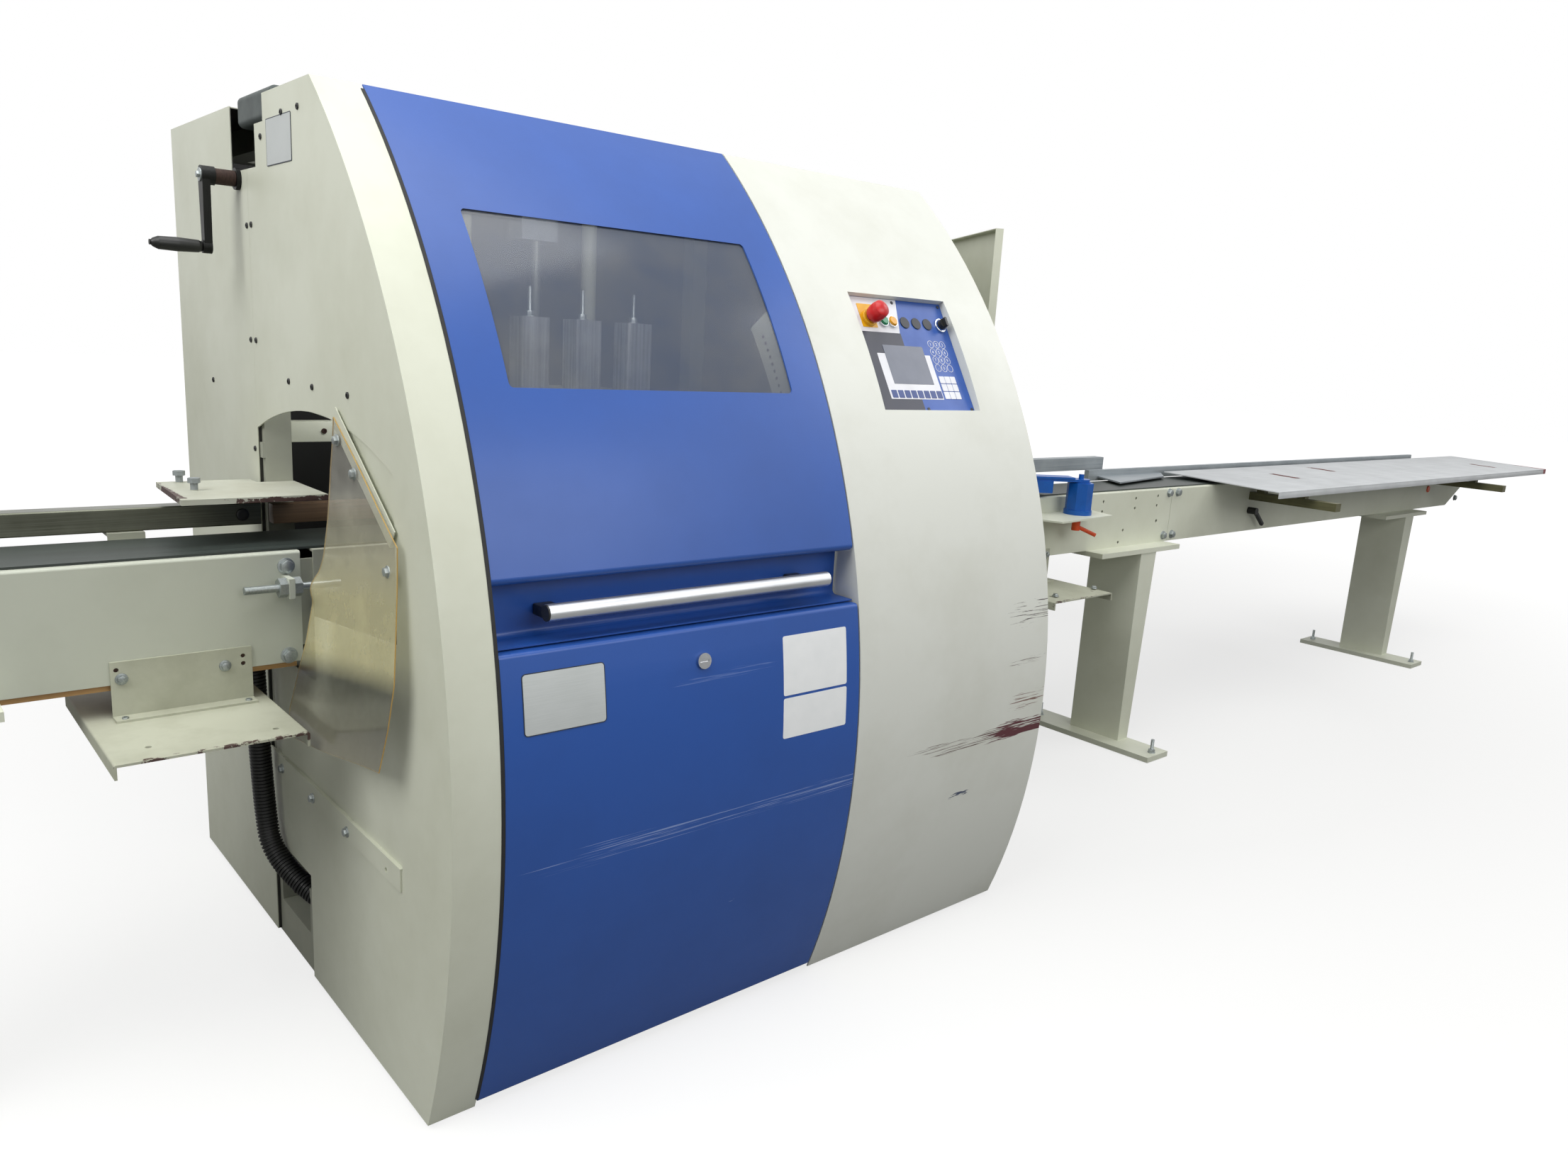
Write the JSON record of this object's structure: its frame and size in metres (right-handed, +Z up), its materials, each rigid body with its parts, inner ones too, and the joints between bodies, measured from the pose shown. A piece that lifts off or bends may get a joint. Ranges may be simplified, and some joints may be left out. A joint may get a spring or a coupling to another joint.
{
  "type": "optimizing crosscut saw",
  "caption": "Floor-standing optimizing crosscut saw: bowed cabinet with hood and control panel, infeed belt, long outfeed belt with side table, up-cutting saw and open electrical cabinet.",
  "frame": {"origin": "bottom centre of the whole machine", "axes": "+X along the feed from infeed to outfeed, +Y away from the operator, +Z up"},
  "size_m": [7.4789, 1.515, 1.7],
  "materials": {
    "cream_paint": "satin pebble-grey cream paint",
    "blue_paint": "satin blue paint",
    "frame_paint": "satin grey-cream paint",
    "anodised_aluminium": "brushed, anodised",
    "plain_steel": "bright machined steel",
    "zinc_steel": "zinc plated",
    "blade_steel": "ground steel",
    "conveyor_belt": "dark, matt fabric-backed belt",
    "drum_steel": "turned steel",
    "roller_rubber": "matt rubber",
    "black_plastic": "moulded, matt",
    "smoked_window": "smoked clear pane",
    "clear_sheet": "clear, yellowed with age",
    "foil_blue": "printed-style panel, left plain",
    "red_plastic": "gloss",
    "green_plastic": "gloss",
    "yellow_plastic": "gloss",
    "orange_plastic": "gloss",
    "lever_black": "matt",
    "tensioner_blue": "gloss blue paint",
    "motor_grey": "grey paint",
    "cylinder_aluminium": "anodised",
    "conduit_black": "ribbed, matt"
  },
  "bodies": {
    "cabinet": {"base_frame": "frame_paint", "left_side_panel": "cream_paint", "left_infill_panel": "cream_paint", "infeed_curtain": "clear_sheet", "right_panel": "cream_paint", "rear_casing": "cream_paint", "top_panel": "cream_paint", "cable_connector": "black_plastic", "control_plate": "foil_blue", "infeed_beam": "cream_paint", "infeed_belt": "conveyor_belt", "infeed_fence": "plain_steel", "infeed_guide_plate": "cream_paint", "side_shelves": "cream_paint", "belt_tension_rod": "zinc_steel", "outfeed_beam_near": "cream_paint", "outfeed_beam_far": "cream_paint", "outfeed_belt": "conveyor_belt", "outfeed_fence": "plain_steel", "entry_rail": "plain_steel", "fence_brackets": "frame_paint", "side_table": "cream_paint", "table_arms": "frame_paint", "conveyor_legs": "cream_paint", "tensioner_body": "tensioner_blue", "saw_table": "plain_steel", "lift_cylinder": "cylinder_aluminium", "crank_gearbox": "motor_grey", "electrical_cabinet": "cream_paint", "cable_conduit": "conduit_black"},
    "hood": {"hood_panel": "blue_paint", "hood_window": "smoked_window", "door_handle": "anodised_aluminium", "handle_brackets": "black_plastic"},
    "lower_cover": {"lower_panel": "blue_paint"},
    "cover_lock": {"cover_lock": "red_plastic"},
    "emergency_stop": {"emergency_stop": "red_plastic"},
    "start_button": {"start_button": "green_plastic"},
    "reset_button": {"reset_button": "yellow_plastic"},
    "selector_knob": {"selector_knob": "black_plastic"},
    "infeed_tail_drum": {"infeed_tail_drum": "drum_steel"},
    "infeed_drive_drum": {"infeed_drive_drum": "drum_steel"},
    "outfeed_drive_drum": {"outfeed_drive_drum": "drum_steel"},
    "outfeed_tail_drum": {"outfeed_tail_drum": "drum_steel"},
    "tensioner_arm": {"tensioner_arm": "tensioner_blue"},
    "tensioner_lever": {"tensioner_lever": "orange_plastic"},
    "clamp_lever": {"clamp_lever": "lever_black"},
    "saw_carriage": {"saw_carriage": "frame_paint", "saw_motor": "motor_grey"},
    "saw": {"saw_arbor": "plain_steel", "saw_blade": "blade_steel"},
    "pressure_beam": {"pressure_beam": "frame_paint", "pressure_cylinders": "cylinder_aluminium"},
    "pressure_frame": {"pressure_frame": "plain_steel"},
    "front_roller": {"front_roller": "roller_rubber"},
    "rear_roller": {"rear_roller": "roller_rubber"},
    "lift_spindle": {"lift_spindle": "plain_steel"},
    "hand_crank": {"hand_crank": "plain_steel"},
    "crank_grip": {"crank_grip": "black_plastic"},
    "electrical_door": {"electrical_door": "cream_paint"}
  },
  "joints": [
    {"name": "hood_hinge", "type": "hinge", "parent": "cabinet", "child": "hood", "pos_m": [-1.925, -0.20861, 1.668], "axis": [-1, 0, 0], "range_deg": [0, 68]},
    {"name": "lower_cover_hinge", "type": "hinge", "parent": "cabinet", "child": "lower_cover", "pos_m": [-1.925, -0.64575, 0.03], "axis": [1, 0, 0], "range_deg": [0, 35]},
    {"name": "cover_lock_turn", "type": "hinge", "parent": "lower_cover", "child": "cover_lock", "pos_m": [-1.9235, -0.7414, 0.763], "axis": [0, -0.9893, 0.1456], "range_deg": [0, 90]},
    {"name": "emergency_stop_push", "type": "slide", "parent": "cabinet", "child": "emergency_stop", "axis": [0, 0.8633, -0.5047], "range_m": [0, 0.006], "stiffness_N_per_m": 900, "springref_m": -0.006},
    {"name": "start_button_push", "type": "slide", "parent": "cabinet", "child": "start_button", "axis": [0, 0.8633, -0.5047], "range_m": [0, 0.003], "stiffness_N_per_m": 600, "springref_m": -0.004},
    {"name": "reset_button_push", "type": "slide", "parent": "cabinet", "child": "reset_button", "axis": [0, 0.8633, -0.5047], "range_m": [0, 0.003], "stiffness_N_per_m": 600, "springref_m": -0.004},
    {"name": "selector_turn", "type": "hinge", "parent": "cabinet", "child": "selector_knob", "pos_m": [-1.1125, -0.49377, 1.36368], "axis": [0, -0.8633, 0.5047], "range_deg": [-45, 45]},
    {"name": "infeed_drive_spin", "type": "hinge", "parent": "cabinet", "child": "infeed_drive_drum", "pos_m": [-1.6295, -0.051, 0.844], "axis": [0, 1, 0], "continuous": true},
    {"name": "infeed_tail_spin", "type": "hinge", "parent": "cabinet", "child": "infeed_tail_drum", "pos_m": [-3.6905, -0.051, 0.844], "axis": [0, 1, 0], "continuous": true},
    {"name": "outfeed_drive_spin", "type": "hinge", "parent": "cabinet", "child": "outfeed_drive_drum", "pos_m": [-1.4095, -0.051, 0.844], "axis": [0, 1, 0], "continuous": true},
    {"name": "outfeed_tail_spin", "type": "hinge", "parent": "cabinet", "child": "outfeed_tail_drum", "pos_m": [3.3455, -0.051, 0.844], "axis": [0, 1, 0], "continuous": true},
    {"name": "tensioner_swing", "type": "hinge", "parent": "cabinet", "child": "tensioner_arm", "pos_m": [-0.0875, -0.214, 0.946], "axis": [0, 0, 1], "range_deg": [-15, 15], "stiffness_Nm_per_rad": 40},
    {"name": "tensioner_lever_turn", "type": "hinge", "parent": "cabinet", "child": "tensioner_lever", "pos_m": [-0.0875, -0.214, 0.82], "axis": [0, 0, 1], "range_deg": [-60, 60]},
    {"name": "clamp_lever_turn", "type": "hinge", "parent": "cabinet", "child": "clamp_lever", "pos_m": [1.1305, -0.156, 0.78], "axis": [0, 1, 0], "range_deg": [-60, 60]},
    {"name": "saw_lift", "type": "slide", "parent": "cabinet", "child": "saw_carriage", "axis": [0, 0, 1], "range_m": [0, 0.18]},
    {"name": "saw_spin", "type": "hinge", "parent": "saw_carriage", "child": "saw", "pos_m": [-1.5395, -0.031, 0.65], "axis": [1, 0, 0], "continuous": true},
    {"name": "crank_turn", "type": "hinge", "parent": "cabinet", "child": "hand_crank", "pos_m": [-2.3895, 0.1725, 1.551], "axis": [1, 0, 0], "range_deg": [-2400, 3600]},
    {"name": "crank_grip_spin", "type": "hinge", "parent": "hand_crank", "child": "crank_grip", "pos_m": [-2.4995, 0.1725, 1.421], "axis": [1, 0, 0], "continuous": true},
    {"name": "spindle_turn", "type": "hinge", "parent": "cabinet", "child": "lift_spindle", "pos_m": [-1.7595, 0.1725, 1.451], "axis": [0, 0, 1], "range_deg": [-2401, 3601]},
    {"name": "pressure_beam_lift", "type": "slide", "parent": "cabinet", "child": "pressure_beam", "axis": [0, 0, 1], "range_m": [-0.0402, 0.0602]},
    {"name": "pressure_stroke", "type": "slide", "parent": "pressure_beam", "child": "pressure_frame", "axis": [0, 0, -1], "range_m": [0, 0.08]},
    {"name": "front_roller_spin", "type": "hinge", "parent": "pressure_frame", "child": "front_roller", "pos_m": [-1.8195, -0.036, 1.05], "axis": [0, 1, 0], "continuous": true},
    {"name": "rear_roller_spin", "type": "hinge", "parent": "pressure_frame", "child": "rear_roller", "pos_m": [-1.6915, -0.036, 1.05], "axis": [0, 1, 0], "continuous": true},
    {"name": "electrical_door_hinge", "type": "hinge", "parent": "cabinet", "child": "electrical_door", "pos_m": [-0.2215, 0.3835, 1.22], "axis": [0, 0, 1], "range_deg": [-59, 55]}
  ],
  "couplings": [
    {"joint": "infeed_tail_spin", "follows": "infeed_drive_spin", "ratio": 1},
    {"joint": "outfeed_tail_spin", "follows": "outfeed_drive_spin", "ratio": 1},
    {"joint": "spindle_turn", "follows": "crank_turn", "ratio": 1},
    {"joint": "pressure_beam_lift", "follows": "crank_turn", "m_per_rad": 0.00095493}
  ]
}
